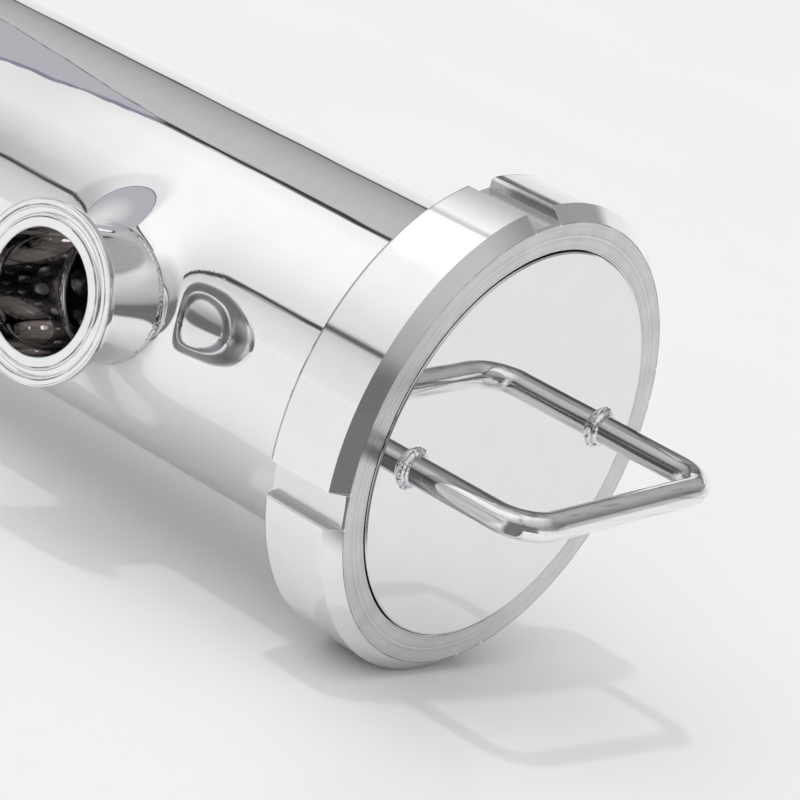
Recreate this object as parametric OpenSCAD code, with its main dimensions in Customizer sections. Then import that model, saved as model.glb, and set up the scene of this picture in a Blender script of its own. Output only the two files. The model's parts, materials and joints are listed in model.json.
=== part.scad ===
// Angle filter: a body tube with an end port and a side port, a perforated element that is
// drawn out of the body along +X, and a blind cap held by a slotted round nut.
// Millimetres. X runs along the body from the end port's sealing face towards the cap,
// the side port points along -Y, and Z is up.

/* [Body] */
// Outer diameter of the body tube
tube_od = 101.6; // [98:0.1:106]
// Wall of the body tube, the reducer and the pulled collar
tube_wall = 2; // [1.5:0.1:2.5]
// End port's sealing face to the side port's axis
port_x = 280; // [265:0.5:340]
// Side port's axis to the front face of the nut
front_len = 102.4; // [93:0.1:130]
// Length of the concentric reducer
reducer_len = 90; // [70:1:105]
// Radius of the reducer's bends
reducer_bend = 24; // [10:1:30]

/* [Ports] */
// Outer diameter of the port tubes
port_od = 38.1; // [34:0.1:40]
// Wall of the port tubes
port_wall = 1.65; // [1.2:0.05:2]
// Outer diameter of the clamp ferrules
ferrule_od = 50.5; // [48:0.1:54]
// Width of a ferrule's rim at its edge
ferrule_rim = 2.2; // [1.6:0.1:2.85]
// Slope of a ferrule's clamped back, in degrees
ferrule_slope = 20; // [15:1:25]
// Length of the end ferrule
end_ferrule_len = 21.5; // [15:0.1:30]
// Length of the side ferrule
side_ferrule_len = 27; // [21:0.1:30]
// Rise of the pulled collar's neck over the body tube
neck_rise = 4.2; // [3:0.1:8]
// Gasket groove's centre line inwards from the ferrule's edge
groove_inset = 3.45; // [3:0.05:4]
// Radius of the gasket groove
groove_r = 1.6; // [1:0.1:1.8]
// How far the pulled collar spreads along the body from the port's axis
flare_reach = 36; // [34:0.5:42]

/* [Union] */
// Width of the liner's face outside the gasket, out to the male thread's crest
liner_land = 5.7; // [4.5:0.1:7]
// Pitch of the thread
thread_pitch = 4.23; // [3:0.01:6]
// Wall of the round nut over the thread
nut_wall = 6.65; // [5.5:0.05:9]
// Length of the nut
nut_len = 24.9; // [22:0.1:28]
// How far the nut's front lip reaches inwards from the thread
lip_reach = 5.5; // [4:0.1:7]
// Thickness of the nut's front lip
nut_lip = 5.8; // [4:0.1:7]
// Chamfer of the nut's front edge
nut_chamfer = 3.9; // [1:0.1:5]
// Number of spanner slots
slot_count = 4; // [2:1:6]
// Width of a spanner slot at the nut's outside
slot_w = 11.2; // [8:0.1:14]
// Depth of a spanner slot
slot_depth = 3.5; // [2:0.1:4]
// Turn of the first slot from +Y towards +Z, in degrees
slot_turn = 105.9; // [0:0.1:180]
// Length of the liner behind the cap's gasket face
liner_len = 21.3; // [19:0.1:30]

/* [Cap] */
// Thickness of the cap's flange
flange_t = 5; // [4:0.1:7]
// How far the cap's face stands in front of the nut
cap_proud = 0.5; // [0.1:0.1:3]
// Depth of the hollow in the cap's back
cap_hollow = 4; // [1:0.1:5]
// Diameter of the handle's bar
bar_d = 8; // [6:0.1:10]
// Distance between the handle's legs
handle_span = 84.3; // [60:0.1:90]
// Cap's face to the centre of the handle's crossbar
handle_rise = 39.6; // [30:0.1:60]
// Radius of the handle's bends
handle_bend = 11; // [8:0.1:14]
// Turn of the handle from +Y towards +Z, in degrees
handle_turn = 7.1; // [-90:0.1:90]

/* [Seal] */
// Width of the union gasket
gasket_w = 5; // [4:0.1:5.5]
// Thickness of the union gasket
gasket_t = 4.3; // [3.5:0.1:5]
// Gap that the gasket holds between the cap and the liner
gasket_stand = 0.8; // [0.3:0.1:1.2]
// Cord diameter of the element's ring seal
ring_seal_d = 1.9; // [1.5:0.1:2.4]

/* [Element] */
// Outer diameter of the perforated tube
element_od = 63.5; // [57:0.1:70]
// Wall of the perforated tube
element_wall = 1.6; // [1:0.1:2]
// Diameter of the holes
hole_d = 8; // [5:0.1:9]
// Distance between the holes round the tube
hole_pitch = 13; // [11:0.1:15]
// Thickness of the mesh sleeve
mesh_t = 0.6; // [0.4:0.1:1]
// Thickness of the element's end plate
plate_t = 2; // [1.5:0.1:4]
// Nut's front face to the front of the end plate
plate_depth = 40; // [37:0.5:44]
// Diameter of the pull handle's bar
pull_d = 6; // [5:0.1:8]
// Distance between the pull handle's legs
pull_span = 52; // [40:0.5:60]
// Radius of the pull handle's bends
pull_bend = 9; // [7:0.5:12]

/* [Seat] */
// Thickness of the seat's plate
seat_t = 4; // [3:0.1:6]
// Depth of the seat's socket
socket_depth = 6.5; // [5:0.1:9]
// Thickness of the lip that stops the element
stop_t = 2.5; // [1.5:0.1:4]
// How far the lip reaches in front of the element's end
stop_reach = 4; // [2:0.1:5]

/* [Clearances] */
// Running clearance between the threads, in radius
thread_gap = 0.05; // [0.02:0.01:0.1]
// Running clearance between the seat and the element, in radius
seat_gap = 0.05; // [0.02:0.01:0.1]
// Clearance between the cap and the nut's opening, in radius
cap_gap = 0.3; // [0.2:0.05:1]
// Clearance between the end plate and the body's bore, in radius
plate_gap = 0.4; // [0.2:0.1:1]
// Small gap between pieces that lie against each other
touch_gap = 0.05; // [0.02:0.01:0.1]

/* [Hidden] */
$fn = 96;

polished = "#d9dbde";
satin = "#b9bcc0";
bead = "#c9cbce";
seal_white = "#e6e4de";
seal_black = "#26262a";

// Radii of the body
tube_r = tube_od / 2;
bore_r = tube_r - tube_wall;
port_r = port_od / 2;
port_bore_r = port_r - port_wall;

// Places along the body
weld_w = 2;
weld_crown = 0.25;
weld_root = 0.1;
nut_x = port_x + front_len;
reducer_x = end_ferrule_len + weld_w;
tube_x = reducer_x + reducer_len + weld_w;
flange_x = nut_x - nut_lip - touch_gap - flange_t;
liner_x = flange_x - gasket_stand;
liner_back_x = liner_x - liner_len;
tube_end_x = liner_back_x - weld_w;
collar_end = tube_r + neck_rise;
side_reach = collar_end + weld_w + side_ferrule_len;

// Union
inner_land = 3;
gasket_in_r = bore_r + inner_land;
gasket_out_r = gasket_in_r + gasket_w;
thread_r = gasket_out_r + liner_land;
nut_bore_r = thread_r + thread_gap;
opening_r = thread_r - lip_reach;
nut_r = thread_r + nut_wall;
lead_in = 0.4 * thread_pitch;
fine_edge = 0.3;
cap_edge = 0.4;
nut_back_edge = 0.8;
flange_edge = 1.5;
flange_r = nut_bore_r - flange_edge;
boss_r = opening_r - cap_gap;
groove_side = 0.1;
liner_neck = 4;
hollow_inset = 2;
hollow_r = bore_r - hollow_inset;

// Element
seat_inset = 5;
seat_x = tube_x + seat_inset;
ring_flange = 2.25;
socket_r = element_od / 2 + ring_flange;
ring_r = socket_r - seat_gap;
mesh_r = element_od / 2 - element_wall - touch_gap;
element_bore_r = mesh_r - mesh_t;
ring_x = seat_x + stop_t;
ring_tail = 4;
ring_len = socket_depth + ring_tail;
element_x = ring_x + ring_len;
plate_x = nut_x - plate_depth - plate_t;
element_len = plate_x - element_x;
row_holes = floor(PI * element_od / hole_pitch);
row_pitch = hole_pitch * sin(60);
row_margin = 1.25 * hole_d;
rows = floor((element_len - 2 * row_margin) / row_pitch) + 1;
first_row_x = element_x + (element_len - (rows - 1) * row_pitch) / 2;
pull_x = plate_x + plate_t;
pull_room = 0.3;
pull_rise = flange_x + cap_hollow - pull_room - pull_d / 2 - pull_x;

// Turns the outline of a radius and a length into a solid about the body's axis
module about_x(x = 0) {
    translate([x, 0, 0]) rotate([0, 90, 0]) rotate_extrude() children();
}

// The same about the side port's axis, with the length running inwards from the face
module about_side(reach) {
    translate([port_x, -reach, 0]) rotate([-90, 0, 0]) rotate_extrude() children();
}

// Rectangle between two radii and two lengths
module band(r1, r2, z1, z2) {
    translate([r1, z1]) square([r2 - r1, z2 - z1]);
}

// Clamp ferrule: sealing face at zero, gasket groove, rim with a sloping back and a neck
module ferrule_outline(len) {
    r = ferrule_od / 2;
    fillet = 2;
    back = ferrule_rim + (r - port_r - fillet) * tan(ferrule_slope);
    difference() {
        union() {
            polygon([[port_bore_r, 0], [r - fine_edge, 0], [r, fine_edge], [r, ferrule_rim],
                     [port_r + fillet, back], [port_bore_r, back]]);
            difference() {
                band(port_bore_r, port_r + fillet, 0, back + fillet);
                translate([port_r + fillet, back + fillet]) circle(fillet);
            }
            band(port_bore_r, port_r, 0, len);
        }
        translate([r - groove_inset, 0]) circle(groove_r);
    }
}

// Butt weld through a wall, with a low crown outside
module weld_outline(r1, r2) {
    polygon([[r1 + weld_root, 0], [r2, 0], [r2 + weld_crown * 0.75, weld_w * 0.2],
             [r2 + weld_crown, weld_w * 0.5], [r2 + weld_crown * 0.75, weld_w * 0.8],
             [r2, weld_w], [r1 + weld_root, weld_w]]);
}

// One side of the reducer: a small radius, a bend, a cone, a bend and a large radius.
// The cone's slope is the one at which both bends of radius b are tangent to it.
function cone_slope(r1, r2, len, b) =
    let (run = len, rise = r2 - r1, away = 2 * b - rise)
    2 * atan2(run - sqrt(run * run + away * away - 4 * b * b), 2 * b + away);
function reducer_side(r1, r2, len, b) =
    let (slope = cone_slope(r1, r2, len, b), steps = 8)
    concat([for (i = [0:steps]) let (a = slope * i / steps) [r1 + b * (1 - cos(a)), b * sin(a)]],
           [for (i = [steps:-1:0]) let (a = slope * i / steps)
               [r2 - b * (1 - cos(a)), len - b * sin(a)]]);
function reversed(list) = [for (i = [len(list) - 1:-1:0]) list[i]];

module end_ferrule() {
    color(polished) about_x() ferrule_outline(end_ferrule_len);
}

module end_weld() {
    color(bead) about_x(end_ferrule_len) weld_outline(port_bore_r, port_r);
}

module reducer() {
    color(polished) about_x(reducer_x)
        polygon(concat(reducer_side(port_r, tube_r, reducer_len, reducer_bend),
                       reversed(reducer_side(port_bore_r, bore_r, reducer_len, reducer_bend))));
}

module reducer_weld() {
    color(bead) about_x(reducer_x + reducer_len) weld_outline(bore_r, tube_r);
}

// Pulled collar. A profile runs from the port's neck to the body in each plane through the
// port's axis. The collar spreads further along the body than round it.
collar_sides = 64;
collar_steps = 8;
collar_gap = 0.02;
flare_side = 34;
neck_share = 0.95;
edge_share = 0.75;
lift_out = 74;
lift_in = 76;
side_lift = -8;
function bezier(p, t) =
    let (u = 1 - t)
    u * u * u * p[0] + 3 * u * u * t * p[1] + 3 * u * t * t * p[2] + t * t * t * p[3];
function flare_edge(a) = flare_side + (flare_reach - flare_side) * pow(cos(a), 2);
function body_depth(rho, a, r) = sqrt(r * r - pow(rho * sin(a), 2));
function body_slope(rho, a, r) = atan(rho * pow(sin(a), 2) / body_depth(rho, a, r));
// Control points as [distance from the port's axis, distance from the body's axis]
function flare_points(a, neck_r, r, lift) =
    let (edge = flare_edge(a), depth = body_depth(edge, a, r), slope = body_slope(edge, a, r),
         start = lift + side_lift * pow(sin(a), 2), arm = edge_share * (edge - neck_r),
         fall = neck_share * (collar_end - depth - (edge - neck_r) * tan(slope)))
    [[neck_r, collar_end],
     [neck_r + fall / tan(start), collar_end - fall],
     [edge - arm * cos(slope), depth + arm * sin(slope)],
     [edge, depth]];
function flare_side_points(a, neck_r, r, lift) =
    let (p = flare_points(a, neck_r, r, lift))
    [for (i = [0:collar_steps]) bezier(p, i / collar_steps)];
function collar_profile(a) =
    concat(flare_side_points(a, port_r, tube_r, lift_out),
           reversed(flare_side_points(a, port_bore_r, bore_r, lift_in)));

module port_collar() {
    turn = 360 / collar_sides;
    ring = 2 * (collar_steps + 1);
    points = [for (i = [0:collar_sides - 1]) let (a = i * turn)
                 for (q = collar_profile(a)) [port_x + q[0] * cos(a), -q[1], q[0] * sin(a)]];
    faces = [for (i = [0:collar_sides - 1]) for (j = [0:ring - 1])
                let (k = (i + 1) % collar_sides, n = (j + 1) % ring,
                     a = i * ring + j, b = i * ring + n, c = k * ring + n, d = k * ring + j)
                for (f = [[a, b, c], [a, c, d]]) f];
    color(polished) polyhedron(points, faces, convexity = 6);
}

// The hole in the body tube that the collar fills
module collar_hole() {
    turn = 360 / collar_sides;
    translate([port_x, 0, 0]) rotate([90, 0, 0]) linear_extrude(tube_r + 1)
        polygon([for (i = [0:collar_sides - 1]) let (a = i * turn, e = flare_edge(a) + collar_gap)
                    [e * cos(a), e * sin(a)]]);
}

module body_tube() {
    color(polished) difference() {
        about_x() band(bore_r, tube_r, tube_x, tube_end_x);
        collar_hole();
    }
}

module side_weld() {
    color(bead) about_side(side_reach - side_ferrule_len) weld_outline(port_bore_r, port_r);
}

module side_ferrule() {
    color(polished) about_side(side_reach) ferrule_outline(side_ferrule_len);
}

module liner_weld() {
    color(bead) about_x(tube_end_x) weld_outline(bore_r, tube_r);
}

// Male part of the union, with the groove for the gasket in its front face
module union_liner() {
    back = liner_neck + (thread_r - tube_r) * 0.25;
    color(satin) about_x(liner_back_x) difference() {
        polygon([[bore_r, 0], [tube_r, 0], [tube_r, liner_neck], [thread_r - lead_in, back],
                 [thread_r, back + lead_in], [thread_r, liner_len - lead_in],
                 [thread_r - lead_in, liner_len], [bore_r, liner_len]]);
        band(gasket_in_r - groove_side, gasket_out_r + groove_side,
             liner_len - gasket_t + gasket_stand, liner_len + 1);
    }
}

module union_gasket() {
    color(seal_white) about_x(flange_x - gasket_t) band(gasket_in_r, gasket_out_r, 0, gasket_t);
}

// Plate welded across the body, with a socket for the element and a lip that stops it
module seat_ring() {
    wall_r = socket_r + 3.5;
    lead = 0.8;
    front = stop_t + socket_depth;
    color(satin) about_x(seat_x)
        polygon([[ring_r - stop_reach, 0], [bore_r - touch_gap, 0], [bore_r - touch_gap, seat_t],
                 [wall_r, seat_t], [wall_r, front], [socket_r + lead, front],
                 [socket_r, front - lead], [socket_r, stop_t], [ring_r - stop_reach, stop_t]]);
}

// Turned ring on the element's open end, with a groove for its seal
seal_inset = socket_depth / 2;
module element_end_ring() {
    groove_depth = ring_seal_d + touch_gap;
    lead = 0.6;
    tail_edge = 1;
    color(satin) about_x(ring_x) difference() {
        polygon([[element_bore_r, 0], [ring_r - lead, 0], [ring_r, lead],
                 [ring_r, ring_len - tail_edge], [ring_r - tail_edge, ring_len],
                 [element_bore_r, ring_len]]);
        band(ring_r - groove_depth, ring_r + 1, seal_inset - 0.6 * ring_seal_d,
             seal_inset + 0.6 * ring_seal_d);
    }
}

module element_seal() {
    color(seal_black) about_x(ring_x + seal_inset)
        translate([ring_r - ring_seal_d / 2, 0]) circle(ring_seal_d / 2);
}

// Perforated tube: every other row of holes is turned by half a step
module perforated_tube() {
    in_r = element_od / 2 - element_wall;
    color(satin) difference() {
        about_x() band(in_r, element_od / 2, element_x, plate_x);
        for (i = [0:rows - 1]) for (k = [0:row_holes - 1])
            rotate([(k + (i % 2) / 2) * 360 / row_holes, 0, 0])
                translate([first_row_x + i * row_pitch, 0, in_r - 2])
                    cylinder(d = hole_d, h = element_wall + 4, $fn = 32);
    }
}

module mesh_sleeve() {
    color(satin) about_x() band(element_bore_r, mesh_r, element_x, plate_x);
}

module end_plate() {
    r = bore_r - plate_gap;
    edge = 0.5;
    color(satin) about_x(plate_x)
        polygon([[0, 0], [r, 0], [r, plate_t - edge], [r - edge, plate_t], [0, plate_t]]);
}

// Bent bar handle with its feet on the plane x = 0 and its legs along +X
module bar_handle(d, span, rise, bend) {
    for (side = [-1, 1]) {
        translate([0, side * span / 2, 0]) rotate([0, 90, 0]) cylinder(d = d, h = rise - bend);
        translate([rise - bend, side * (span / 2 - bend), 0]) scale([1, side, 1])
            rotate_extrude(angle = 90) translate([bend, 0]) circle(d = d, $fn = 32);
    }
    translate([rise, bend - span / 2, 0]) rotate([-90, 0, 0]) cylinder(d = d, h = span - 2 * bend);
}

// Weld beads round both feet of a bar handle
pull_bead = 1.6;
cap_bead = 2.4;
module foot_beads(d, span, size) {
    for (side = [-1, 1]) translate([0, side * span / 2, 0]) rotate([0, 90, 0])
        rotate_extrude() intersection() {
            translate([d / 2 + size * 0.25, size * 0.4]) circle(size * 0.75, $fn = 32);
            band(d / 2, d / 2 + 2 * size, 0, 2 * size);
        }
}

module pull_handle() {
    color(satin) translate([pull_x, 0, 0]) bar_handle(pull_d, pull_span, pull_rise, pull_bend);
}

module pull_welds() {
    color(bead) translate([pull_x, 0, 0]) foot_beads(pull_d, pull_span, pull_bead);
}

// Blind cap: a boss that fills the nut's opening and a flange behind the nut's lip
module blind_cap() {
    face = nut_x + cap_proud - flange_x;
    color(polished) about_x(flange_x)
        polygon([[0, cap_hollow], [hollow_r - cap_hollow * 0.5, cap_hollow], [hollow_r, 0],
                 [flange_r, 0], [flange_r, flange_t], [boss_r, flange_t],
                 [boss_r, face - cap_edge], [boss_r - cap_edge, face], [0, face]]);
}

module at_handle() {
    translate([nut_x + cap_proud, 0, 0]) rotate([handle_turn, 0, 0]) children();
}

module cap_handle() {
    color(polished) at_handle() bar_handle(bar_d, handle_span, handle_rise, handle_bend);
}

module handle_welds() {
    color(bead) at_handle() foot_beads(bar_d, handle_span, cap_bead);
}

// Round nut: a lip over the cap's flange, a bore for the thread and spanner slots
module union_nut() {
    floor_r = nut_r - slot_depth;
    slot_floor_w = slot_w - 0.35 * slot_depth;
    back_x = nut_x - nut_len;
    inside = nut_len - nut_lip;
    color(satin) difference() {
        about_x(back_x)
            polygon([[nut_bore_r + lead_in, 0], [nut_r - nut_back_edge, 0],
                     [nut_r, nut_back_edge],
                     [nut_r, nut_len - nut_chamfer], [nut_r - nut_chamfer, nut_len],
                     [opening_r + fine_edge, nut_len], [opening_r, nut_len - fine_edge],
                     [opening_r, inside],
                     [nut_bore_r, inside], [nut_bore_r, lead_in]]);
        for (i = [0:slot_count - 1]) rotate([slot_turn + i * 360 / slot_count, 0, 0])
            translate([back_x - 1, 0, 0]) rotate([90, 0, 90]) linear_extrude(nut_len + 2)
                polygon([[floor_r, -slot_floor_w / 2], [nut_r + 1, -slot_w / 2],
                         [nut_r + 1, slot_w / 2], [floor_r, slot_floor_w / 2]]);
    }
}

end_ferrule();
end_weld();
reducer();
reducer_weld();
body_tube();
port_collar();
side_weld();
side_ferrule();
liner_weld();
union_liner();
seat_ring();
union_gasket();
element_end_ring();
element_seal();
perforated_tube();
mesh_sleeve();
end_plate();
pull_handle();
pull_welds();
blind_cap();
cap_handle();
handle_welds();
union_nut();
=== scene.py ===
import json
import math

import bmesh
import bpy
from mathutils import Matrix, Vector


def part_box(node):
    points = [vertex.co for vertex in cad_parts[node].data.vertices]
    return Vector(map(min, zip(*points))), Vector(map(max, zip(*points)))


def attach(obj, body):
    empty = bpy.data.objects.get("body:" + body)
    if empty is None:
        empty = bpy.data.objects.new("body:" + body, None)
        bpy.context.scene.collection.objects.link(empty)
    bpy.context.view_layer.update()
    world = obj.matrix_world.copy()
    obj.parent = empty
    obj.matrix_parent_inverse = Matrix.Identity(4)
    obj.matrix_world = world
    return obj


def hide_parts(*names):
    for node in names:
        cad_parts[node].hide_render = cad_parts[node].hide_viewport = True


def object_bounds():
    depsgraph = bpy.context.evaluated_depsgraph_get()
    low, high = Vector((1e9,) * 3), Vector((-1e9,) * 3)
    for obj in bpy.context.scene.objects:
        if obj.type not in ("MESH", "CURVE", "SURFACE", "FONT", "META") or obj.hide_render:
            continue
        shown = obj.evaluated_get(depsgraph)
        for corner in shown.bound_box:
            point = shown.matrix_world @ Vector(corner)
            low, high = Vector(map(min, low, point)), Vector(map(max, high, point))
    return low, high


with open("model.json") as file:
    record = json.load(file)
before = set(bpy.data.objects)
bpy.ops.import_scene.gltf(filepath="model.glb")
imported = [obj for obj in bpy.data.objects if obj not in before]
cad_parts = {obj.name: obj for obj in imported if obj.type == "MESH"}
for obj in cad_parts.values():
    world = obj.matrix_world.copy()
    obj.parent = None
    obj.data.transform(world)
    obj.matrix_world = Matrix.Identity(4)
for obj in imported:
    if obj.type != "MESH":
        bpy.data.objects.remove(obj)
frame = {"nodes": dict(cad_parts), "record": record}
cad_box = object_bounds()
cad_box_low, cad_box_high = cad_box
scene = bpy.context.scene
nodes = frame["nodes"]

# Sizes that the pieces of the scene share with the CAD nodes, in metres. The collar's flare is a
# curve whose arms are shares of its width and height, and whose ends leave at angles in degrees.
tube_low, tube_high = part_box("body_tube")
ferrule_low, ferrule_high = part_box("side_ferrule")
weld_low, weld_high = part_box("side_weld")
TUBE_R = tube_high.z
WALL = 0.002
BORE_R = TUBE_R - WALL
PORT_X = (ferrule_low.x + ferrule_high.x) / 2
PORT_R = 0.01905
PORT_BORE_R = 0.0174
COLLAR_END = -weld_high.y
FLARE_REACH = 0.036
FLARE_SIDE = 0.034
NECK_SHARE = 0.95
EDGE_SHARE = 0.75
LIFT_OUT = 74
LIFT_IN = 76
SIDE_LIFT = -8
FERRULE_R = (ferrule_high.x - ferrule_low.x) / 2
FERRULE_RIM = 0.0022
FERRULE_SLOPE = math.radians(20)
GROOVE_INSET = 0.00345
GROOVE_R = 0.0016
WELD_W = 0.002
WELD_CROWN = 0.00025
WELD_ROOT = 0.0001
THREAD_PITCH = 0.00423
THREAD_DEPTH = 0.0013
THREAD_GAP = 0.00005
LINER_NECK = 0.004
GASKET_W = 0.005
GROOVE_SIDE = 0.0001
SLOT_COUNT = 4
SLOT_W = 0.0112
SLOT_TURN = math.radians(105.9)
BAR_D = 0.008
HANDLE_SPAN = 0.0843
HANDLE_TURN = math.radians(7.1)
CAP_BEAD = 0.0024
PULL_D = 0.006
PULL_SPAN = 0.052
PULL_BEAD = 0.0016
TURNED_ROUGHNESS = 0.24


# Meshes

def mesh_object(name, points, faces, normals=None, smooth=True):
    """New object from points and faces, with the exact normal of each point where it is known."""
    mesh = bpy.data.meshes.new(name)
    mesh.from_pydata([tuple(p) for p in points], [], faces)
    mesh.validate()
    for polygon in mesh.polygons:
        polygon.use_smooth = smooth
    if normals is not None:
        mesh.normals_split_custom_set_from_vertices([tuple(n) for n in normals])
    piece = bpy.data.objects.new(name, mesh)
    scene.collection.objects.link(piece)
    return piece


def dress(piece, material):
    """Gives a piece or a CAD node's object one material."""
    piece.data.materials.clear()
    piece.data.materials.append(material)


def finish_piece(piece, body, slot, material, *replaced):
    """Gives a piece its body, its material and the nodes that it stands for. The slot is not used.
    """
    dress(piece, material)
    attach(piece, body)
    if replaced:
        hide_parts(*replaced)


def between(low, high, count):
    return [low + (high - low) * i / count for i in range(count + 1)]


def smooth_step(share):
    share = min(max(share, 0), 1)
    return share * share * (3 - 2 * share)


# Body shell: the tube and the pulled collar as one smooth skin

def bezier(points, t):
    u = 1 - t
    weights = (u ** 3, 3 * u * u * t, 3 * u * t * t, t ** 3)
    return sum((p * w for p, w in zip(points, weights)), Vector((0, 0)))


def flare_edge(turn):
    return FLARE_SIDE + (FLARE_REACH - FLARE_SIDE) * math.cos(turn) ** 2


def collar_point(turn, t, neck_r, radius, lift):
    """Point of the collar: t runs from the neck to the tube, turn goes round the port's axis."""
    edge = flare_edge(turn)
    depth = math.sqrt(radius ** 2 - (edge * math.sin(turn)) ** 2)
    slope = math.atan(edge * math.sin(turn) ** 2 / depth)
    start = math.radians(lift + SIDE_LIFT * math.sin(turn) ** 2)
    arm = EDGE_SHARE * (edge - neck_r)
    fall = NECK_SHARE * (COLLAR_END - depth - (edge - neck_r) * math.tan(slope))
    profile = [Vector((neck_r, COLLAR_END)),
               Vector((neck_r + fall / math.tan(start), COLLAR_END - fall)),
               Vector((edge - arm * math.cos(slope), depth + arm * math.sin(slope))),
               Vector((edge, depth))]
    away, reach = bezier(profile, t)
    return Vector((PORT_X + away * math.cos(turn), -reach, away * math.sin(turn)))


def collar_normal(turn, t, *shape):
    """Way out of the collar, from two short steps on it."""
    step = 1e-4
    across = collar_point(turn + step, t, *shape) - collar_point(turn - step, t, *shape)
    low, high = max(t - step, 0), min(t + step, 1)
    along = collar_point(turn, high, *shape) - collar_point(turn, low, *shape)
    return along.cross(across).normalized()


def body_side(radius, neck_r, lift):
    """Points, normals and quads of one side of the shell, facing outwards."""
    turns = 180
    turn_step = 2 * math.pi / turns
    patch_turns = 24
    patch_x = 0.044
    cell = 0.002
    flat_rings = 7
    collar_rings = 30
    points, normals, quads, index = [], [], [], {}

    def add(key, point, normal):
        index[key] = len(points)
        points.append(point)
        normals.append(normal)

    def columns(low, high):
        return between(low, high, max(1, round((high - low) / cell)))

    before = columns(tube_low.x, PORT_X - patch_x)
    middle = columns(PORT_X - patch_x, PORT_X + patch_x)
    after = columns(PORT_X + patch_x, tube_high.x)
    xs = before + middle[1:] + after[1:]
    first, last = len(before) - 1, len(before) + len(middle) - 2

    # The tube's grid; turn zero faces the side port
    for i, x in enumerate(xs):
        for k in range(turns):
            lean = k if k <= turns // 2 else k - turns
            if first < i < last and abs(lean) < patch_turns:
                continue
            away = Vector((0, -math.cos(lean * turn_step), math.sin(lean * turn_step)))
            add((i, k), Vector((x, 0, 0)) + away * radius, away)
    for i in range(len(xs) - 1):
        for k in range(turns):
            corners = [(i, k), (i + 1, k), (i + 1, (k + 1) % turns), (i, (k + 1) % turns)]
            lean = k if k < turns // 2 else k - turns
            if first <= i < last and -patch_turns <= lean < patch_turns:
                continue
            quads.append([index[c] for c in corners])

    # The patch's border in order round the port, and rings from it up to the neck
    border = [(last, k % turns) for k in range(-patch_turns, patch_turns)]
    border += [(i, patch_turns) for i in range(last, first, -1)]
    border += [(first, k % turns) for k in range(patch_turns, -patch_turns, -1)]
    border += [(i, (-patch_turns) % turns) for i in range(first, last)]
    ring = [index[c] for c in border]
    at = [points[n] for n in ring]
    angles = [math.atan2(p.z, p.x - PORT_X) for p in at]
    shape = (neck_r, radius, lift)
    count = len(ring)
    for step in range(1, flat_rings + collar_rings + 1):
        new = []
        for n in range(count):
            turn = angles[n]
            if step <= flat_rings:
                edge = flare_edge(turn)
                share = step / flat_rings
                x = at[n].x + (PORT_X + edge * math.cos(turn) - at[n].x) * share
                z = at[n].z + (edge * math.sin(turn) - at[n].z) * share
                away = Vector((0, -math.sqrt(radius ** 2 - z * z), z)) / radius
                add((step, n, "patch"), Vector((x, 0, 0)) + away * radius, away)
            else:
                t = 1 - (step - flat_rings) / collar_rings
                add((step, n, "patch"), collar_point(turn, t, *shape),
                    collar_normal(turn, t, *shape))
            new.append(index[(step, n, "patch")])
        for n in range(count):
            m = (n + 1) % count
            quads.append([ring[n], ring[m], new[m], new[n]])
        ring = new
    ends = [[index[(0, k)] for k in range(turns)],
            [index[(len(xs) - 1, k)] for k in reversed(range(turns))], ring]
    return points, normals, quads, ends


def make_body_shell(material):
    outer, outer_normals, outer_quads, outer_ends = body_side(TUBE_R, PORT_R, LIFT_OUT)
    inner, inner_normals, inner_quads, inner_ends = body_side(BORE_R, PORT_BORE_R, LIFT_IN)
    shift = len(outer)
    faces = outer_quads + [[n + shift for n in reversed(q)] for q in inner_quads]
    for out_ring, in_ring in zip(outer_ends, inner_ends):
        count = len(out_ring)
        for n in range(count):
            m = (n + 1) % count
            faces.append([out_ring[n], out_ring[m], in_ring[m] + shift, in_ring[n] + shift])
    normals = outer_normals + [-n for n in inner_normals]
    shell = mesh_object("body_shell", outer + inner, faces, normals)
    finish_piece(shell, "housing", "polished_steel", material, "body_tube", "port_collar")


# Turned pieces: a closed loop of (length, radius) points for each turn about an axis

class Axis:
    """Axis of a turned piece, with the way out of it at turn zero."""

    def __init__(self, origin, along, start):
        self.origin = Vector(origin)
        self.along = Vector(along)
        self.start = Vector(start)
        self.side = self.along.cross(self.start)

    def point(self, length, radius, turn):
        away = self.start * math.cos(turn) + self.side * math.sin(turn)
        return self.origin + self.along * length + away * radius


def along_body(x):
    return Axis((x, 0, 0), (1, 0, 0), (0, 1, 0))


def along_port(y):
    return Axis((PORT_X, y, 0), (0, 1, 0), (0, 0, 1))


def revolved(axis, loop_at, turns):
    """Closed skin through the loops of a number of turns about an axis."""
    points, faces = [], []
    for k in range(turns):
        turn = 2 * math.pi * k / turns
        points += [axis.point(length, radius, turn) for length, radius in loop_at(turn)]
    size = len(points) // turns
    for k in range(turns):
        here, after = k * size, (k + 1) % turns * size
        for i in range(size):
            j = (i + 1) % size
            faces.append([here + i, here + j, after + j, after + i])
    return points, faces


def solid_object(name, parts, sharp=35):
    """New object from closed parts, with its faces outwards and its edges sharp past an angle."""
    points, faces = [], []
    for part_points, part_faces in parts:
        shift = len(points)
        points += part_points
        faces += [[n + shift for n in face] for face in part_faces]
    piece = mesh_object(name, points, faces)
    mesh = bmesh.new()
    mesh.from_mesh(piece.data)
    bmesh.ops.recalc_face_normals(mesh, faces=mesh.faces)
    mesh.to_mesh(piece.data)
    mesh.free()
    piece.data.set_sharp_from_angle(angle=math.radians(sharp))
    return piece


def ripple(phase):
    """Height of a weld's ripple: each one runs out over the one before it."""
    part = phase % 1.0
    return 1 - part * part


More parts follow.
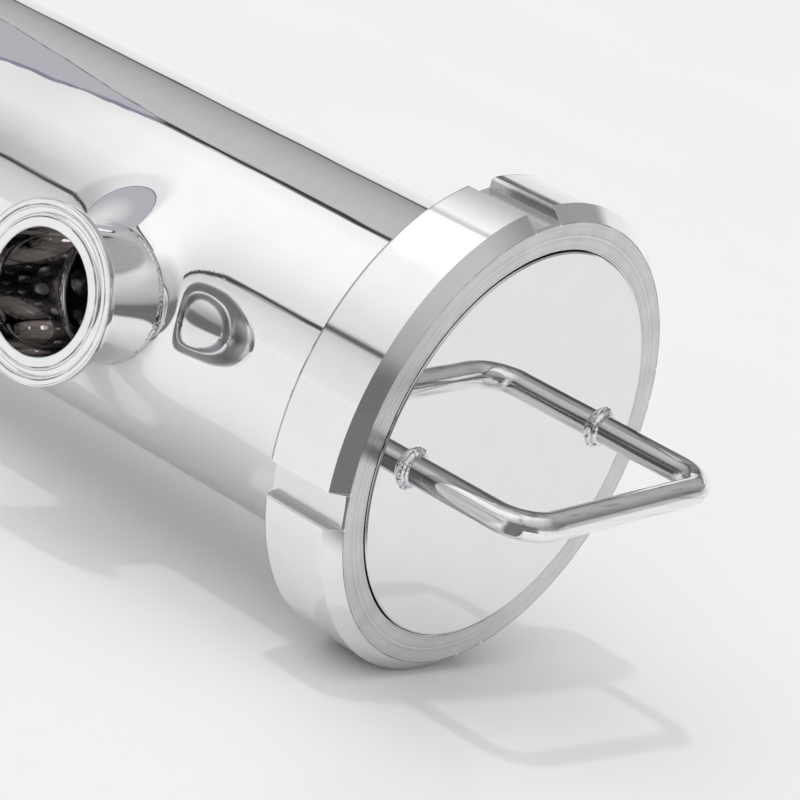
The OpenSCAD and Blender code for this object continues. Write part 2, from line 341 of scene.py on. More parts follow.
def ring_weld(name, node, axis, bore_r, outer_r, ripples, material):
    """Butt weld right through a wall, with a rippled crown outside and a flat root inside."""
    steps = 8
    wander = 0.35

    def loop_at(turn):
        outer, inner = [], []
        phase = turn * ripples / (2 * math.pi)
        phase += wander * (math.sin(5 * turn) + math.sin(11 * turn))
        for i in range(steps + 1):
            u = 2 * i / steps - 1
            swell = 1 - u ** 4
            crown = WELD_CROWN * swell * (0.45 + 0.55 * ripple(phase - 0.8 * u * u))
            outer.append((WELD_W * i / steps, outer_r + crown))
            inner.append((WELD_W * i / steps, bore_r + WELD_ROOT * (1 - 0.8 * swell)))
        return outer + inner[::-1]

    piece = solid_object(name, [revolved(axis, loop_at, ripples * 8)])
    finish_piece(piece, "housing", "weld_steel", material, node)


def foot_beads(name, node, body, across, bar_d, span, size, lumps, material):
    """Fillet beads round a handle's two feet: a thin ragged foot and a narrow lumpy ring. The
    outline has (length, width, how ragged) as shares of the bead's size."""
    outline = [(0.0, 0.86, 1.0), (0.10, 0.88, 1.0), (0.20, 0.80, 0.9), (0.27, 0.62, 0.6),
               (0.36, 0.50, 0.3), (0.48, 0.50, 0.5), (0.60, 0.49, 0.8), (0.72, 0.40, 0.8),
               (0.82, 0.26, 0.5), (0.92, 0.0, 0.0)]
    centre = Vector((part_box(node)[0].x, 0, 0))
    parts = []
    for number, side in enumerate((-1, 1)):
        axis = Axis(centre + across * (side * span / 2), (1, 0, 0), (0, 1, 0))

        def loop_at(turn):
            phase = turn * lumps / (2 * math.pi) + number * 0.4 + 0.3 * math.sin(4 * turn + number)
            loop = []
            for along, out, ragged in outline:
                lump = 1 - 0.3 * ragged * (1 - ripple(phase - 0.5 * along))
                sway = 1 + 0.08 * ragged * math.sin(3 * turn + 2 * number)
                loop.append((along * size, bar_d / 2 + out * size * lump * sway))
            return loop + [(0.0, bar_d / 2)]

        parts.append(revolved(axis, loop_at, lumps * 8))
    piece = solid_object(name, parts, 60)
    finish_piece(piece, body, "weld_steel", material, node)


def rounded(before, corner, after, reach):
    """Points of a small rounding that replaces a corner of an outline."""
    start = corner + (before - corner).normalized() * reach
    end = corner + (after - corner).normalized() * reach
    return [start * (1 - t) ** 2 + corner * 2 * t * (1 - t) + end * t * t
            for t in between(0, 1, 4)]


def arc(centre, radius, first, last, steps):
    """Points of an arc, by turns from the outline's outward way towards its length."""
    return [centre + Vector((math.sin(turn), math.cos(turn))) * radius
            for turn in between(first, last, steps)]


def make_ferrule(name, node, axis, length, material):
    """Clamp ferrule: face with a round gasket groove, rim with a sloping back, fillet and neck."""
    fillet = 0.002
    foot = PORT_R + fillet
    back = FERRULE_RIM + (FERRULE_R - foot) * math.tan(FERRULE_SLOPE)
    inside, face_edge = Vector((0, PORT_BORE_R)), Vector((0, FERRULE_R))
    back_edge, slope_end = Vector((FERRULE_RIM, FERRULE_R)), Vector((back, foot))
    groove = Vector((0, FERRULE_R - GROOVE_INSET))
    loop = rounded(Vector((length, PORT_BORE_R)), inside, groove, 0.0002)
    loop += arc(groove, GROOVE_R, math.pi, 0, 14)
    loop += rounded(groove, face_edge, back_edge, 0.0004)
    loop += rounded(face_edge, back_edge, slope_end, 0.0003)
    loop += arc(Vector((back + fillet, foot)), fillet, -math.pi / 2, -math.pi, 8)
    loop += [Vector((length, PORT_R)), Vector((length, PORT_BORE_R))]
    piece = solid_object(name, [revolved(axis, lambda turn: loop, 192)])
    finish_piece(piece, "housing", "polished_steel", material, node)


# Round thread of the union: one helix that the liner and the nut share

def thread_dip(x, turn):
    """Depth of the thread below its crest, as a share from 0 to 1."""
    return 0.5 - 0.5 * math.cos(2 * math.pi * x / THREAD_PITCH - turn)


def fade(x, low, high, run):
    """One between two places, running out to zero over a length at each end."""
    return smooth_step(min((x - low) / run, (high - x) / run))


def make_liner(material):
    """Liner of the union, with its male thread and the gasket's groove in its front face."""
    low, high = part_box("union_liner")
    crest_r = high.z
    neck = low.x + LINER_NECK
    slope_end = neck + (crest_r - TUBE_R) * 0.25
    lead = 0.4 * THREAD_PITCH
    gasket_low, gasket_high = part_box("union_gasket")
    groove_out = gasket_high.z + GROOVE_SIDE
    groove_in = gasket_high.z - GASKET_W - GROOVE_SIDE
    first, last = slope_end + lead, high.x - lead

    def loop_at(turn):
        loop = [(low.x, BORE_R), (low.x, TUBE_R), (neck, TUBE_R), (slope_end, crest_r - lead)]
        for x in between(first, last, 44):
            depth = THREAD_DEPTH * fade(x, first - 0.001, last + 0.006, 0.005)
            loop.append((x, crest_r - depth * thread_dip(x, turn)))
        return loop + [(high.x, crest_r - lead), (high.x, groove_out), (gasket_low.x, groove_out),
                       (gasket_low.x, groove_in), (high.x, groove_in), (high.x, BORE_R)]

    piece = solid_object("liner_thread", [revolved(along_body(0), loop_at, 160)])
    finish_piece(piece, "housing", "turned_steel", material, "union_liner")


def make_nut_thread(material):
    """Thread inside the nut: a sleeve whose crests stand out of the nut's bore."""
    bore_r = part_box("union_liner")[1].z + THREAD_GAP
    root_gap, sunk = 0.0001, 0.0006
    first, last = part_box("union_nut")[0].x + 0.0019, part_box("blind_cap")[0].x - 0.0012

    def loop_at(turn):
        loop = []
        for x in between(first, last, 40):
            stand = THREAD_DEPTH * thread_dip(x, turn) * fade(x, first, last, 0.003)
            loop.append((x, bore_r + root_gap - stand))
        return loop + [(last, bore_r + sunk), (first, bore_r + sunk)]

    piece = solid_object("nut_thread", [revolved(along_body(0), loop_at, 160)])
    finish_piece(piece, "nut", "turned_steel", material)


# Materials

class Nodes:
    """Short forms for building a node tree."""

    def __init__(self, tree, place_kind):
        self.tree = tree
        self.place_kind = place_kind

    def node(self, kind, **values):
        """New node: each value goes to the input of that name, or else to the setting."""
        made = self.tree.nodes.new(kind)
        for key, value in values.items():
            if key in made.inputs:
                made.inputs[key].default_value = value
            else:
                setattr(made, key, value)
        return made

    def link(self, start, end):
        self.tree.links.new(start, end)

    def place(self):
        return self.node("ShaderNodeTexCoord").outputs[self.place_kind]

    def parts(self, vector):
        """The X, Y and Z of a vector."""
        made = self.node("ShaderNodeSeparateXYZ")
        self.link(vector, made.inputs[0])
        return made.outputs["X"], made.outputs["Y"], made.outputs["Z"]

    def math(self, operation, first, second=None):
        made = self.node("ShaderNodeMath", operation=operation)
        for slot_number, value in enumerate((first, second)):
            if value is None:
                continue
            if isinstance(value, (int, float)):
                made.inputs[slot_number].default_value = value
            else:
                self.link(value, made.inputs[slot_number])
        return made.outputs[0]

    def weighted(self, first, first_share, second, second_share):
        """Sum of two values, each times its share."""
        return self.math("ADD", self.math("MULTIPLY", first, first_share),
                         self.math("MULTIPLY", second, second_share))

    def noise(self, scale, detail=3.0, stretch=None):
        made = self.node("ShaderNodeTexNoise", Scale=scale, Detail=detail)
        start = self.place()
        if stretch:
            mapping = self.node("ShaderNodeMapping", Scale=stretch)
            self.link(start, mapping.inputs["Vector"])
            start = mapping.outputs["Vector"]
        self.link(start, made.inputs["Vector"])
        return made.outputs["Fac"]

    def ramp(self, value, *stops):
        """Colour ramp with (place, grey level or colour) stops."""
        made = self.node("ShaderNodeValToRGB")
        self.link(value, made.inputs["Fac"])
        elements = made.color_ramp.elements
        while len(elements) > 1:
            elements.remove(elements[-1])
        for number, (place, shade) in enumerate(stops):
            element = elements[0] if number == 0 else elements.new(place)
            element.position = place
            element.color = (*(shade if isinstance(shade, tuple) else (shade,) * 3), 1)
        return made.outputs["Color"]

    def span(self, value, low, high, new_low=0.0, new_high=1.0):
        """Smooth step from one value to another between two places."""
        made = self.node("ShaderNodeMapRange", interpolation_type="SMOOTHSTEP")
        self.link(value, made.inputs["Value"])
        for key, number in (("From Min", low), ("From Max", high),
                            ("To Min", new_low), ("To Max", new_high)):
            made.inputs[key].default_value = number
        return made.outputs["Result"]

    def mix(self, share, first, second):
        """Passes from one colour output to another, or to a fixed colour."""
        made = self.node("ShaderNodeMix", data_type="RGBA")
        self.link(share, made.inputs[0])
        self.link(first, made.inputs[6])
        if isinstance(second, tuple):
            made.inputs[7].default_value = (*second, 1)
        else:
            self.link(second, made.inputs[7])
        return made.outputs[2]

    def highest(self, values):
        top = values[0]
        for value in values[1:]:
            top = self.math("MAXIMUM", top, value)
        return top


class Surface(Nodes):
    """A node material on the standard shader, placed by the object's own coordinates."""

    def __init__(self, name, metallic=1.0, roughness=0.05, color=(0.8, 0.8, 0.8)):
        self.material = bpy.data.materials.new(name)
        self.material.use_nodes = True
        super().__init__(self.material.node_tree, "Object")
        self.shader = self.tree.nodes["Principled BSDF"]
        self.shader.inputs["Metallic"].default_value = metallic
        self.shader.inputs["Roughness"].default_value = roughness
        self.shader.inputs["Base Color"].default_value = (*color, 1)

    def facing(self):
        """The X, Y and Z of the way that the surface faces."""
        return self.parts(self.node("ShaderNodeTexCoord").outputs["Normal"])

    def color(self, output):
        self.link(output, self.shader.inputs["Base Color"])

    def roughness(self, output):
        self.link(output, self.shader.inputs["Roughness"])

    def bump(self, height, distance, strength):
        made = self.node("ShaderNodeBump", Strength=strength, Distance=distance)
        self.link(height, made.inputs["Height"])
        self.link(made.outputs["Normal"], self.shader.inputs["Normal"])


def polished_steel(name, wave_depth, shade):
    """Mirror polish with the slight waves and haze that the polishing wheel leaves."""
    g = Surface(name, roughness=0.03)
    haze = g.noise(90.0, 4.0)
    dull_tone_and_painted_reflection = (shade - 0.03, shade - 0.025, shade - 0.02)
    g.color(g.ramp(haze, (0.3, dull_tone_and_painted_reflection), (0.7, (shade, shade, shade + 0.005))))
    g.roughness(g.span(haze, 0.3, 0.75, 0.01, 0.03))
    g.bump(g.noise(38.0, 2.0, stretch=(0.45, 1.0, 1.0)), wave_depth, 1.0)
    return g.material


def painted_shade_lines(g, shade, radius, edges, gate=None):
    """Mixes broken lines of painted shade into a colour, at the (radius, half width) of turned
    edges.
    """
    lines = []
    for edge, width in edges:
        away = g.math("ABSOLUTE", g.math("SUBTRACT", radius, edge))
        lines.append(g.span(away, width * 0.4, width, 1.0, 0.0))
    broken = g.span(g.noise(170.0, 3.0), 0.35, 0.6, 0.25, 0.85)
    share = g.math("MULTIPLY", g.highest(lines), broken)
    if gate:
        share = g.math("MULTIPLY", share, gate)
    return g.mix(share, shade, (0.14, 0.14, 0.15))


def ferrule_steel(name, centre_x, face, along_body):
    """Polished ferrule: painted shade lines on its turned face and groove, and a rougher turned
    back with painted shade on it.
    """
    g = Surface(name, roughness=0.03)
    x, y, z = g.parts(g.place())
    along, across = (x, y) if along_body else (y, g.math("SUBTRACT", x, centre_x))
    radius = g.math("SQRT", g.weighted(across, across, z, z))
    mottle = g.noise(140.0, 4.0)
    shade = g.ramp(mottle, (0.3, (0.87, 0.875, 0.88)), (0.7, (0.92, 0.92, 0.925)))
    # Painted shade lines at the groove's two edges, the rounded outer edge of the face and the edge
    # of the bore
    edges = ((0.0201, 0.00022), (0.0235, 0.00022), (0.0248, 0.00012), (0.0176, 0.0001))
    shade = painted_shade_lines(g, shade, radius, edges)
    # Painted shade: the back of the rim is painted dark grey; the added roughness is its turned
    # finish
    painted_back_shade = g.span(g.math("SUBTRACT", along, face), FERRULE_RIM + 0.0001, FERRULE_RIM + 0.0006)
    painted_back_shade = g.math("MULTIPLY", painted_back_shade, g.span(radius, PORT_R + 0.0002, PORT_R + 0.0012))
    g.color(g.mix(painted_back_shade, shade, (0.40, 0.40, 0.41)))
    rough = g.span(mottle, 0.3, 0.75, 0.02, 0.06)
    g.roughness(g.math("ADD", rough, g.math("MULTIPLY", painted_back_shade, 0.2)))
    g.bump(g.noise(60.0, 2.0), 0.0001, 0.7)
    return g.material


def turned_finish(g):
    """Fine rings on the faces across the body's axis, and brighter ground sides. Returns the
    colour, the roughness, the distance from the axis and the share of such a face."""
    y, z = g.parts(g.place())[1:]
    radius = g.math("SQRT", g.weighted(y, y, z, z))
    front = g.span(g.math("ABSOLUTE", g.facing()[0]), 0.8, 0.95)
    place = g.node("ShaderNodeCombineXYZ")
    g.link(radius, place.inputs[0])
    rings = g.node("ShaderNodeTexNoise", Scale=1500.0, Detail=4.0, Roughness=0.7)
    g.link(place.outputs[0], rings.inputs["Vector"])
    ringed = g.math("MULTIPLY", rings.outputs["Fac"], front)
    g.bump(ringed, 0.00004, 0.6)
    shade = g.weighted(g.noise(120.0, 4.0), 0.25, ringed, 0.9)
    color = g.ramp(shade, (0.08, (0.90, 0.90, 0.905)), (0.2, (0.86, 0.86, 0.865)),
                   (0.38, (0.80, 0.80, 0.805)), (0.56, (0.64, 0.64, 0.645)),
                   (0.75, (0.44, 0.44, 0.445)))
    return color, g.span(front, 0.0, 1.0, 0.07, TURNED_ROUGHNESS), radius, front


def turned_steel():
    """The liner, the seat and the element's ring as they leave the lathe."""
    g = Surface("turned_steel", roughness=TURNED_ROUGHNESS)
    color, rough = turned_finish(g)[:2]
    g.color(color)
    g.roughness(rough)
    return g.material


def nut_steel():
    """Turned nut with painted shade lines at its edges, painted shade on its back edge, milled
    spanner slots with painted shade on their walls, and painted highlights along the slots' edges.
    """
    low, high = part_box("union_nut")
    rim = high.z
    g = Surface("nut_steel", roughness=TURNED_ROUGHNESS)
    color, rough, radius, front = turned_finish(g)
    x, y, z = g.parts(g.place())
    facing_x, facing_y, facing_z = g.facing()
    # Painted shade lines at two turned edges of the front face
    edges = ((rim - 0.0040, 0.00022), (rim - 0.0120, 0.0004))
    color = painted_shade_lines(g, color, radius, edges, front)
    # Painted shade darkens the back edge
    back = g.span(x, low.x + 0.0009, low.x + 0.0013, 0.75, 0.0)
    color = g.mix(back, color, (0.22, 0.22, 0.23))
    # The milled slots below the rim are rougher; their colour is a duller tone with painted shade,
    # darkest on their walls
    sunk = g.math("MULTIPLY", g.span(radius, rim - 0.0012, rim - 0.0007, 1.0, 0.0),
                  g.span(g.math("ABSOLUTE", facing_x), 0.3, 0.5, 1.0, 0.0))
    outward = g.math("DIVIDE", g.weighted(facing_y, y, facing_z, z), radius)
    milled_tone_and_painted_shade = g.ramp(outward, (0.6, (0.46, 0.46, 0.465)), (0.9, (0.82, 0.82, 0.825)))
    color = g.mix(sunk, color, milled_tone_and_painted_shade)
    # Painted highlights: bright lines along the slots' edges and the corners of their floors
    step = 2 * math.pi / SLOT_COUNT
    turn = g.math("ADD", g.math("ARCTAN2", z, y), 5 * math.pi - SLOT_TURN + step / 2)
    fold = g.math("SUBTRACT", g.math("MODULO", turn, step), step / 2)
    across = g.math("MULTIPLY", radius, g.math("SINE", g.math("ABSOLUTE", fold)))
    lines = []
    for half, low_r, high_r in ((SLOT_W / 2 - 0.00014, rim - 0.0050, rim + 0.001),
                                (SLOT_W / 2 - 0.00061, rim - 0.0048, rim - 0.0032)):
        away = g.math("ABSOLUTE", g.math("SUBTRACT", across, half))
        line = g.span(away, 0.00008, 0.00020, 1.0, 0.0)
        line = g.math("MULTIPLY", line, g.span(radius, low_r, low_r + 0.0002))
        lines.append(g.math("MULTIPLY", line, g.span(radius, high_r - 0.0002, high_r, 1.0, 0.0)))
    painted_edge_highlight = g.highest(lines)
    g.color(g.mix(painted_edge_highlight, color, (0.97, 0.97, 0.97)))
    g.roughness(g.math("ADD", rough, g.weighted(sunk, 0.16, painted_edge_highlight, 0.3)))
    return g.material


def sheet_steel():
    """Pickled sheet and wire of the element: satin, slightly mottled."""
    g = Surface("sheet_steel", roughness=0.25)
    mottle = g.noise(160.0, 5.0)
    g.color(g.ramp(mottle, (0.3, (0.62, 0.62, 0.63)), (0.7, (0.76, 0.76, 0.77))))
    g.roughness(g.span(mottle, 0.3, 0.7, 0.22, 0.36))
    g.bump(g.noise(900.0, 2.0, stretch=(0.05, 1.0, 1.0)), 0.00002, 0.5)
    return g.material


def woven_mesh():
    """Plain weave of fine wire, wound round the body's axis, with painted shade in the gaps between
    the wires.
    """
    g = Surface("woven_mesh", roughness=0.35)
    wire_count = 420
    wire_pitch = 0.00045
    x, y, z = g.parts(g.place())
    turn = g.math("ARCTAN2", z, y)
    round_wave = g.math("SINE", g.math("MULTIPLY", turn, wire_count / 2))
    long_wave = g.math("SINE", g.math("MULTIPLY", x, math.pi / wire_pitch))
    over = g.math("MULTIPLY", round_wave, long_wave)
    wires = g.highest([g.math("ABSOLUTE", round_wave), g.math("ABSOLUTE", long_wave)])
    # The gaps between the wires are painted near black as painted shade
    g.color(g.ramp(wires, (0.35, (0.05, 0.05, 0.05)), (0.75, (0.62, 0.62, 0.63))))
    g.bump(g.weighted(wires, 1.0, over, 0.5), 0.0001, 0.8)
    return g.material


def bar_steel():
    """Polished bar of the cap's handle, with the streaks of the drawing and the polishing, and
    painted dark reflections along its legs.
    """
    g = Surface("bar_steel", roughness=0.04)
    y, z = g.parts(g.place())[1:]
    facing_y, facing_z = g.facing()[1:]
    across = g.weighted(y, math.cos(HANDLE_TURN), z, math.sin(HANDLE_TURN))
    leg = HANDLE_SPAN / 2
    on_leg = g.span(g.math("ABSOLUTE", across), leg - 0.010, leg - 0.004)
    mixed = g.node("ShaderNodeMix")
    g.link(on_leg, mixed.inputs[0])
    g.link(g.noise(800.0, 2.0, stretch=(1.0, 0.04, 1.0)), mixed.inputs[2])
    g.link(g.noise(800.0, 2.0, stretch=(0.04, 1.0, 1.0)), mixed.inputs[3])
    streak = mixed.outputs[0]
    bright = g.ramp(streak, (0.3, (0.62, 0.62, 0.63)), (0.42, (0.84, 0.84, 0.85)),
                    (0.6, (0.91, 0.91, 0.915)))
    painted_dark_reflection = g.ramp(streak, (0.35, (0.10, 0.10, 0.11)), (0.6, (0.38, 0.38, 0.39)))
    # Painted reflection: the legs are painted dark on three sides, above, at the port's side and
    # below it
    up = g.weighted(facing_y, -0.407, facing_z, 0.914)
    low = g.weighted(facing_y, -0.80, facing_z, -0.60)
    dull_tone_and_painted_reflection = g.math("ADD", g.span(up, 0.86, 0.97, 0.0, 0.75),
                  g.span(facing_y, -0.985, -0.92, 0.6, 0.0))
    dull_tone_and_painted_reflection = g.math("ADD", dull_tone_and_painted_reflection, g.span(low, 0.9, 0.98, 0.0, 0.45))
    g.color(g.mix(g.math("MULTIPLY", dull_tone_and_painted_reflection, on_leg), bright, painted_dark_reflection))
    g.roughness(g.span(streak, 0.3, 0.7, 0.10, 0.02))
    g.bump(streak, 0.00003, 0.6)
    return g.material


def weld_steel():
    """Bright weld metal with dark specks between its ripples and a faint blue tint."""
    g = Surface("weld_steel", roughness=0.08)
    tint = g.noise(420.0, 3.0)
    g.color(g.ramp(tint, (0.36, (0.26, 0.25, 0.25)), (0.47, (0.86, 0.86, 0.86)),
                   (0.7, (0.70, 0.71, 0.75))))
    g.roughness(g.span(tint, 0.3, 0.7, 0.04, 0.12))
    g.bump(g.noise(900.0, 2.0), 0.0003, 0.6)
    return g.material


def rubber(name, low, high, roughness):
    g = Surface(name, metallic=0.0, roughness=roughness)
    mottle = g.noise(300.0, 4.0)
    g.color(g.ramp(mottle, (0.3, low), (0.7, high)))
    g.roughness(g.span(mottle, 0.3, 0.7, roughness * 0.85, roughness * 1.15))
    g.bump(g.noise(2500.0, 3.0), 0.00002, 0.4)
    return g.material


# The record's slots, then the nodes whose steel has its own marks

SLOT_MATERIALS = {
    "polished_steel": polished_steel("polished_steel", 0.00016, 0.92),
    "turned_steel": turned_steel(),
    "element_steel": sheet_steel(),
    "mesh_steel": woven_mesh(),
    "weld_steel": weld_steel(),
    "silicone": rubber("silicone", (0.80, 0.79, 0.75), (0.86, 0.85, 0.81), 0.4),
    "black_rubber": rubber("black_rubber", (0.02, 0.02, 0.022), (0.04, 0.04, 0.043), 0.5),
}
for entry in frame["record"]["subparts"]:
    dress(nodes[entry["node"]], SLOT_MATERIALS[entry["material_slot"]])

end_low, end_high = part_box("end_ferrule")
end_steel = ferrule_steel("end_ferrule_steel", PORT_X, end_low.x, True)
side_steel = ferrule_steel("side_ferrule_steel", PORT_X, ferrule_low.y, False)
dress(nodes["end_ferrule"], end_steel)
dress(nodes["side_ferrule"], side_steel)
dress(nodes["union_nut"], nut_steel())
dress(nodes["blind_cap"], polished_steel("cap_steel", 0.00004, 0.87))
dress(nodes["cap_handle"], bar_steel())


# Pieces of the object

make_body_shell(SLOT_MATERIALS["polished_steel"])
make_liner(SLOT_MATERIALS["turned_steel"])
make_nut_thread(SLOT_MATERIALS["turned_steel"])

make_ferrule("end_ferrule_body", "end_ferrule", along_body(end_low.x), end_high.x - end_low.x,
             end_steel)
make_ferrule("side_ferrule_body", "side_ferrule", along_port(ferrule_low.y),
             ferrule_high.y - ferrule_low.y, side_steel)

weld = SLOT_MATERIALS["weld_steel"]
for node, bore_r, outer_r, ripples in (("end_weld", PORT_BORE_R, PORT_R, 70),
                                       ("reducer_weld", BORE_R, TUBE_R, 150),
                                       ("liner_weld", BORE_R, TUBE_R, 150)):
    ring_weld(node + "_bead", node, along_body(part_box(node)[0].x), bore_r, outer_r, ripples, weld)
ring_weld("side_weld_bead", "side_weld", along_port(weld_low.y), PORT_BORE_R, PORT_R, 70, weld)

handle_across = Vector((0, math.cos(HANDLE_TURN), math.sin(HANDLE_TURN)))
foot_beads("handle_beads", "handle_welds", "cap", handle_across, BAR_D, HANDLE_SPAN, CAP_BEAD, 15,
           weld)
foot_beads("pull_beads", "pull_welds", "element", Vector((0, 1, 0)), PULL_D, PULL_SPAN, PULL_BEAD,
           13, weld)


# Floor

def make_floor():
    reach = 8.0
    level = cad_box_low.z
    corners = [(-reach, -reach, level), (reach, -reach, level), (reach, reach, level),
               (-reach, reach, level)]
    floor = mesh_object("floor", corners, [[0, 1, 2, 3]], smooth=False)
    g = Surface("studio_floor", metallic=0.0, roughness=0.55, color=(0.86, 0.86, 0.865))
    g.color(g.ramp(g.noise(3.0, 2.0), (0.3, (0.85, 0.85, 0.855)), (0.7, (0.87, 0.87, 0.875))))
    dress(floor, g.material)


make_floor()


# Studio light: a world that is bright overhead, grey behind and dim beside the camera

# Light by the angle round the body's axis, in degrees from the back over the top to the front,
# as (degrees, grey level) pairs. Towards the far end and across the body there are three dark
# lines, and the light behind the second is the same for both. Towards the cap there are none.
BACK_LIGHT = [
    (0, 240), (24, 226), (28.6, 224), (29.4, 90), (31, 92), (32.5, 152), (42, 168), (60, 184),
    (77, 190), (77.9, 60), (80, 62)]
FAR_LIGHT = BACK_LIGHT + [
    (81.4, 214), (95, 224), (118, 228), (132, 212), (146, 184), (153.5, 180), (154.4, 72),
    (156.2, 76), (157.3, 188), (165, 204), (180, 215)]
ACROSS_LIGHT = BACK_LIGHT + [
    (81.4, 240), (95, 250), (118, 248), (132, 240), (146, 226), (153.5, 220), (154.4, 72),
    (156.2, 76), (157.3, 203), (165, 218), (180, 230)]
CAP_LIGHT = [
    (0, 240), (18, 226), (23, 150), (46, 168), (60, 176), (69, 214), (80, 244), (95, 250),
    (118, 248), (132, 240), (146, 226), (158, 205), (180, 230)]
WORLD_GAIN = 1.1
END_LIGHT = 0.75


def linear(level):
    """Light that shows as a grey level from 0 to 255."""
    c = level / 255
    return c / 12.92 if c <= 0.04045 else ((c + 0.055) / 1.055) ** 2.4


def make_world():
    world = bpy.data.worlds.new("studio")
    scene.world = world
    world.use_nodes = True
    g = Nodes(world.node_tree, "Generated")
    background = world.node_tree.nodes["Background"]
    x, y, z = g.parts(g.place())
    # The bands' borders wander a little, as in steel that isn't quite true
    turn = g.math("MULTIPLY", g.math("ARCTAN2", z, y), 180 / math.pi)
    wander = g.math("MULTIPLY", g.math("SUBTRACT", g.noise(55.0, 3.0), 0.5), 3.4)
    turn = g.math("ADD", turn, wander)
    share = g.math("MULTIPLY", turn, 1 / 180)

    def light_ramp(stops):
        return g.ramp(share, *((angle / 180, linear(level) * WORLD_GAIN) for angle, level in stops))

    def line_mask(edge, low, high):
        """One where the angle is between two distances past an edge, with a soft half degree."""
        past = g.math("SUBTRACT", turn, edge)
        rise = g.math("MULTIPLY", g.math("SUBTRACT", past, low), 2.0)
        fall = g.math("MULTIPLY", g.math("SUBTRACT", high, past), 2.0)
        mask = g.math("MINIMUM", rise, fall)
        return g.math("MAXIMUM", g.math("MINIMUM", mask, 1.0), 0.0)

    light = g.mix(g.span(x, -0.655, -0.6), light_ramp(FAR_LIGHT), light_ramp(ACROSS_LIGHT))

    # A grey wedge with dark borders opens out of the upper dark line towards the far end
    wedge_start, wedge_run, wedge_spread = -0.619, 0.041, 16.0
    line_low, line_high = 78.0, 80.0
    wedge = g.math("MULTIPLY", g.math("SUBTRACT", wedge_start, x), 1 / wedge_run)
    wedge = g.math("MAXIMUM", wedge, 0.0)
    opened = g.math("MINIMUM", g.math("MULTIPLY", wedge, 8.0), 1.0)
    upper = g.math("SUBTRACT", line_low, g.math("MULTIPLY", wedge, wedge_spread))
    lower = g.math("ADD", line_high, g.math("MULTIPLY", wedge, wedge_spread))
    width = g.math("SUBTRACT", lower, upper)
    for edge, low, high, tint in ((upper, 0.0, width, (178, 175, 182)),
                                  (upper, 0.0, 1.1, (84, 82, 92)),
                                  (lower, -3.2, 0.0, (134, 130, 148))):
        shown = g.math("MULTIPLY", line_mask(edge, low, high), opened)
        light = g.mix(shown, light, tuple(linear(level) * WORLD_GAIN for level in tint))

    light = g.mix(g.span(x, 0.02, 0.12), light, light_ramp(CAP_LIGHT))
    at_ends = g.ramp(g.math("ABSOLUTE", x), (0.8, 0.0), (0.95, 1.0))
    light = g.mix(at_ends, light, (END_LIGHT, END_LIGHT, END_LIGHT))
    # The side that the cap faces is dimmer
    dimmed = g.node("ShaderNodeMix", data_type="RGBA", blend_type="MULTIPLY")
    dimmed.inputs[0].default_value = 1.0
    g.link(light, dimmed.inputs[6])
    g.link(g.ramp(x, (0.15, 1.0), (0.55, 0.62), (0.9, 0.5)), dimmed.inputs[7])
    g.link(dimmed.outputs[2], background.inputs["Color"])
    background.inputs["Strength"].default_value = 1.0


def add_light(name, kind, energy, color=(1, 1, 1)):
    light = bpy.data.lights.new(name, kind)
    light.energy = energy
    light.color = color
    lamp = bpy.data.objects.new(name, light)
    scene.collection.objects.link(lamp)
    return lamp, light


def make_suns():
    """Suns that light the floor and the dull pieces, and that polished steel doesn't mirror."""
    for name, energy, spread, travel in (("key", 0.38, 2.5, (0.1213, 0.313, -0.942)),
                                         ("fill", 0.56, 80.0, (0.15, -0.1, -1.0)),
                                         ("front", 0.80, 70.0, (0.1, 0.9, -0.5))):
        sun, light = add_light(name, "SUN", energy)
        light.angle = math.radians(spread)
        sun.rotation_euler = Vector(travel).to_track_quat("-Z", "Y").to_euler()
        sun.visible_glossy = False


# Dark cards beside the camera: only polished metal sees them

def make_card(name, point_at, shade, soft):
    """Card whose light fades out over a share of its size at (left, right, near, far)."""
    cells = 24
    points, faces, covers = [], [], []
    for i in range(cells + 1):
        for j in range(cells + 1):
            u, v = i / cells, j / cells
            points.append(point_at(u, v))
            covers.append(math.prod(min(1.0, gone / reach) if reach else 1.0
                                    for gone, reach in zip((u, 1 - u, v, 1 - v), soft)))
    for i in range(cells):
        for j in range(cells):
            n = i * (cells + 1) + j
            faces.append([n, n + cells + 1, n + cells + 2, n + 1])
    card = mesh_object(name, points, faces, smooth=False)
    cover = card.data.attributes.new("cover", "FLOAT", "POINT")
    for n, value in enumerate(covers):
        cover.data[n].value = smooth_step(value)
    material = bpy.data.materials.new(name)
    material.use_nodes = True
    material.node_tree.nodes.clear()
    g = Nodes(material.node_tree, "Object")
    glow = g.node("ShaderNodeEmission", Color=(shade, shade, shade * 1.03, 1))
    clear = g.node("ShaderNodeBsdfTransparent")
    share = g.node("ShaderNodeAttribute", attribute_name="cover")
    mixed = g.node("ShaderNodeMixShader")
    g.link(share.outputs["Fac"], mixed.inputs[0])
    g.link(clear.outputs[0], mixed.inputs[1])
    g.link(glow.outputs[0], mixed.inputs[2])
    g.link(mixed.outputs[0], g.node("ShaderNodeOutputMaterial").inputs["Surface"])
    dress(card, material)
    card.visible_camera = False
    card.visible_diffuse = False
    card.visible_shadow = False
    card.visible_transmission = False


def make_cards():
    ground = cad_box_low.z + 0.001
    far, top = 1.5, 0.5
    start = Vector((cad_box_high.x - 0.03, 0))
    left, right = math.radians(-80), math.radians(-10)

    def spot(u, reach, height):
        turn = left + (right - left) * u
        flat = start + Vector((math.cos(turn), math.sin(turn))) * reach
        return Vector((flat.x, flat.y, height))

    def floor_spot(u, v):
        near = 0.03 + 0.17 * smooth_step((u - 0.42) / 0.16)
        return spot(u, near + (far - near) * v * v, ground)

    def standing_spot(u, v):
        return spot(u, far, ground + (top - ground) * v)

    make_card("floor_card", floor_spot, linear(120), (0.15, 0.15, 0.1, 0))
    make_card("standing_card", standing_spot, linear(116), (0.15, 0.15, 0, 0.5))


# Small lights that only reflections show: one over the nut, a warm one in the side port's
# mouth, and faint ones for what the walls inside the body pass on between them

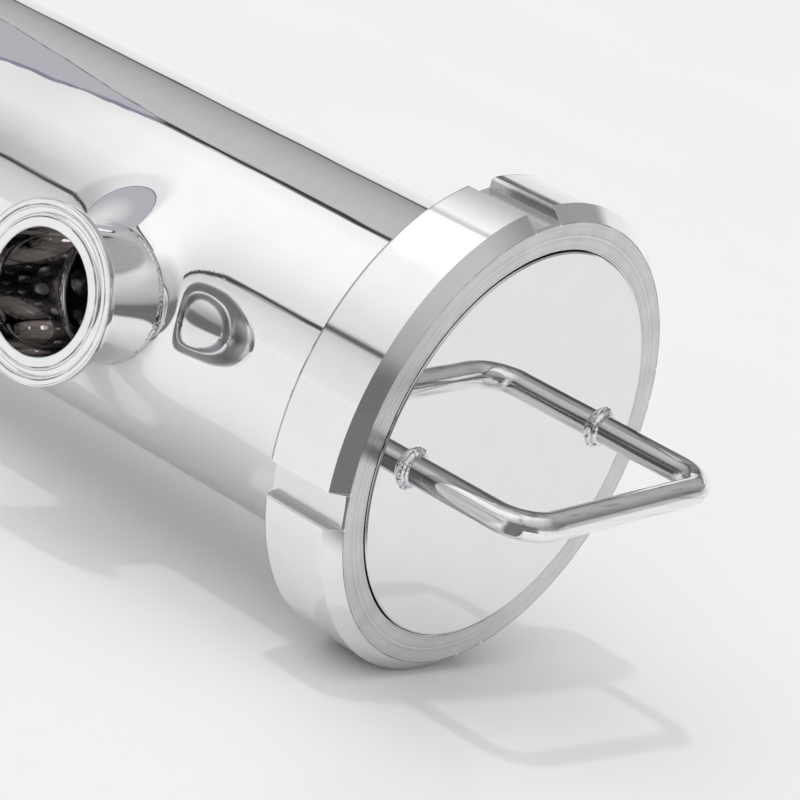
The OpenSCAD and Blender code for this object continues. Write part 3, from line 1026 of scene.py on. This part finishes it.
def add_small_light(name, kind, energy, color=(1, 1, 1)):
    lamp, light = add_light(name, kind, energy, color)
    lamp.visible_camera = False
    lamp.visible_diffuse = False
    return lamp, light


def make_small_lights():
    nut_low, nut_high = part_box("union_nut")
    beam = Vector((-0.54, 0.10, 0.835)).normalized()
    side = (Vector((0, 1, 0)) - beam * beam.y).normalized()
    middle = Vector(((nut_low.x + nut_high.x) / 2 - 0.0162, -0.041, 0.0802)) + side * 0.002
    turned = Matrix((side, beam.cross(side), beam)).transposed().to_4x4()
    lamp, light = add_small_light("nut_light", "AREA", 0.00021)
    light.shape = "RECTANGLE"
    light.size, light.size_y = 0.062, 0.028
    light.spread = math.radians(48)
    lamp.matrix_world = Matrix.Translation(middle) @ turned

    mouth = Vector((PORT_X, ferrule_low.y + 0.002, 0))
    inwards = Vector((0, 1, 0)).to_track_quat("-Z", "Y").to_matrix().to_4x4()
    lamp, light = add_small_light("port_light", "AREA", 0.0012, (1.0, 0.8, 0.72))
    light.shape = "DISK"
    light.size = 0.032
    lamp.matrix_world = Matrix.Translation(mouth) @ inwards

    first, step, away = -0.055, 0.011, 0.040
    for number in range(12):
        lean = math.radians((70, 135, 225, 290)[number % 4])
        name = "inner_light_%02d" % number
        lamp, light = add_small_light(name, "POINT", 0.00042, (1.0, 0.86, 0.82))
        light.shadow_soft_size = 0.016
        lamp.matrix_world = Matrix.Translation((PORT_X + first + step * number,
                                                -away * math.cos(lean), away * math.sin(lean)))


make_world()
make_suns()
make_cards()
make_small_lights()


# Camera at the photograph's viewing angle

def make_camera():
    data = bpy.data.cameras.new("camera")
    data.sensor_width = 36
    data.lens = 150.56
    data.clip_end = 50
    camera = bpy.data.objects.new("camera", data)
    right = Vector((0.7393, 0.5896, 0.3253)).normalized()
    back = Vector((0.5366, -0.8077, 0.2442)).normalized()
    above = back.cross(right).normalized()
    right = above.cross(back)
    turned = Matrix((right, above, back)).transposed().to_4x4()
    camera.matrix_world = Matrix.Translation((0.84053, -0.74653, 0.22243)) @ turned
    scene.collection.objects.link(camera)
    scene.camera = camera


make_camera()
scene.view_settings.view_transform = "Standard"
